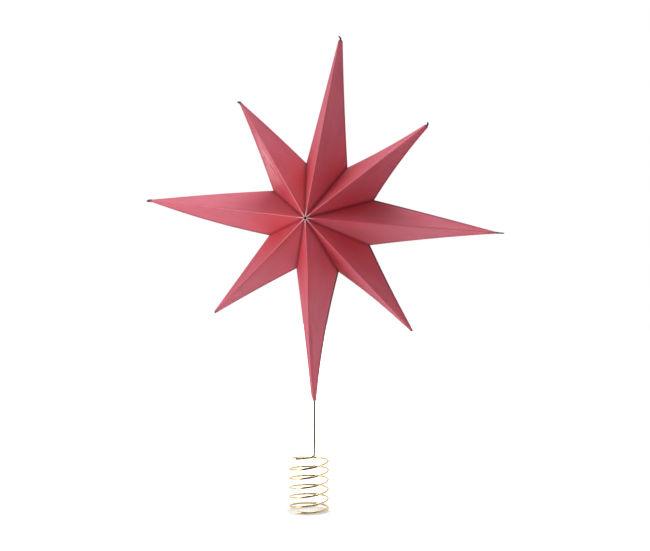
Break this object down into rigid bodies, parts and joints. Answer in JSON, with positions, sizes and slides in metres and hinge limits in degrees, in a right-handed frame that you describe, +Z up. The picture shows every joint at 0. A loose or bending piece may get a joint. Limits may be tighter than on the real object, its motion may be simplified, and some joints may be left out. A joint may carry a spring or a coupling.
{
  "type": "paper star tree topper",
  "caption": "Folded paper star with long and short hollow points, glued around a centre and held on a brass spring wire coil that slips over a tree's tip.",
  "frame": {"origin": "on the coil's axis, at the coil's open bottom mouth", "axes": "+Z up along the coil's axis and the stem, the star's front faces -Y, +X to the right as seen from the front"},
  "size_m": [0.2353, 0.0812, 0.3038],
  "materials": {
    "paper": "matte",
    "wire": "polished"
  },
  "bodies": {
    "root": {"point_top": "paper", "point_top_right": "paper", "point_right": "paper", "point_bottom_right": "paper", "point_bottom": "paper", "point_bottom_left": "paper", "point_left": "paper", "point_top_left": "paper", "spring_wire": "wire"}
  },
  "joints": []
}
